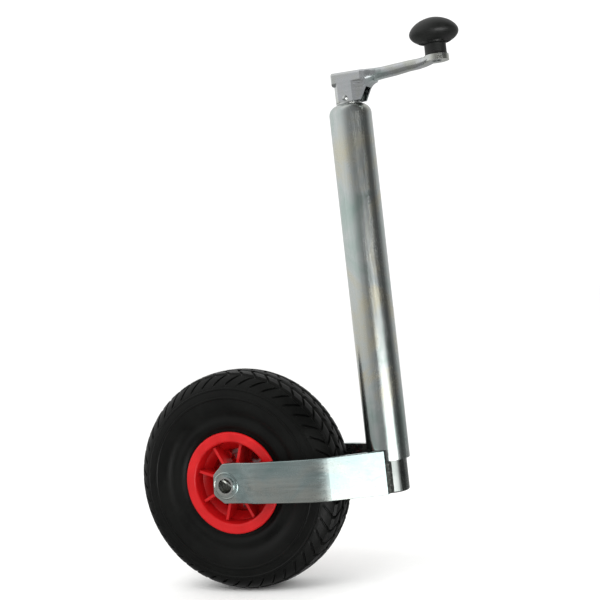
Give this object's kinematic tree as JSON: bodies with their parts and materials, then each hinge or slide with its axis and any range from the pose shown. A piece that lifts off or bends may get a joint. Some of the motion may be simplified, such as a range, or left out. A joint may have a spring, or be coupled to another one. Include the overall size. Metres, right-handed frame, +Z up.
{
  "type": "trailer jack wheel",
  "caption": "Trailer jockey wheel: a telescopic screw jack in a 48 mm tube with a top crank and a swivelling pneumatic wheel on a red rim.",
  "frame": {"origin": "on the outer tube's axis, at the middle of the straight wall that a trailer clamp grips", "axes": "+Z up along the tube axis towards the crank, the wheel trails towards -X, Y along the wheel axle"},
  "size_m": [0.4477, 0.116, 0.625],
  "materials": {
    "zinc_tube": "bright zinc plate with a faint green and yellow passivation tint",
    "zinc_inner": "bright zinc plate",
    "zinc_strap": "bright zinc plate over bent steel strap",
    "weld": "zinc plated fillet weld",
    "zinc_small": "zinc plated small steel parts",
    "crank_zinc": "zinc plated pressed steel",
    "bare_steel": "oiled machined steel",
    "bronze": "sintered bronze",
    "black_plastic": "moulded black plastic",
    "white_plastic": "moulded acetal",
    "red_plastic": "glossy moulded red plastic",
    "tyre_rubber": "black rubber with moulded tread and sidewall rings",
    "tube_rubber": "butyl rubber",
    "brass": "turned brass"
  },
  "bodies": {
    "casing": {"outer_tube": "zinc_tube", "lower_guide_ring": "bronze", "upper_race": "bare_steel"},
    "ball_ring": {"bearing_balls": "bare_steel", "ball_cage": "bare_steel"},
    "crank": {"spindle": "bare_steel", "lower_race": "bare_steel", "spindle_stop_washer": "bare_steel", "top_collar": "zinc_small", "crank_arm": "crank_zinc", "crank_rivet": "zinc_small", "knob_pin": "zinc_small", "knob_washer": "zinc_small"},
    "knob": {"knob": "black_plastic"},
    "nut": {"spindle_nut": "bare_steel"},
    "fork": {"inner_tube": "zinc_inner", "inner_tube_end_plug": "zinc_inner", "right_fork_arm": "zinc_strap", "left_fork_arm": "zinc_strap", "weld_beads": "weld", "axle_tube": "zinc_small", "axle_washers": "zinc_small", "axle_split_pins": "zinc_small"},
    "wheel": {"rim_near_half": "red_plastic", "rim_far_half": "red_plastic", "rim_screws": "zinc_small", "hub_bushes": "white_plastic", "tyre": "tyre_rubber", "air_tube": "tube_rubber", "valve_stem": "brass", "valve_cap": "tube_rubber"}
  },
  "joints": [
    {"name": "crank_spin", "type": "hinge", "parent": "casing", "child": "crank", "pos_m": [0, 0, 0.20875], "axis": [0, 0, 1], "range_deg": [0, 18000]},
    {"name": "ball_ring_roll", "type": "hinge", "parent": "casing", "child": "ball_ring", "pos_m": [0, 0, 0.19425], "axis": [0, 0, 1], "range_deg": [0, 9000]},
    {"name": "knob_spin", "type": "hinge", "parent": "crank", "child": "knob", "pos_m": [0.1065, 0, 0.25975], "axis": [0, 0, 1], "continuous": true},
    {"name": "screw_extend", "type": "slide", "parent": "casing", "child": "nut", "axis": [0, 0, -1], "range_m": [0, 0.25]},
    {"name": "fork_swivel", "type": "hinge", "parent": "nut", "child": "fork", "pos_m": [0, 0, -0.20525], "axis": [0, 0, 1], "continuous": true},
    {"name": "wheel_spin", "type": "hinge", "parent": "fork", "child": "wheel", "pos_m": [-0.1842, 0, -0.21085], "axis": [0, 1, 0], "continuous": true}
  ],
  "couplings": [
    {"joint": "screw_extend", "follows": "crank_spin", "m_per_rad": 0.00079577},
    {"joint": "ball_ring_roll", "follows": "crank_spin", "ratio": 0.5}
  ]
}
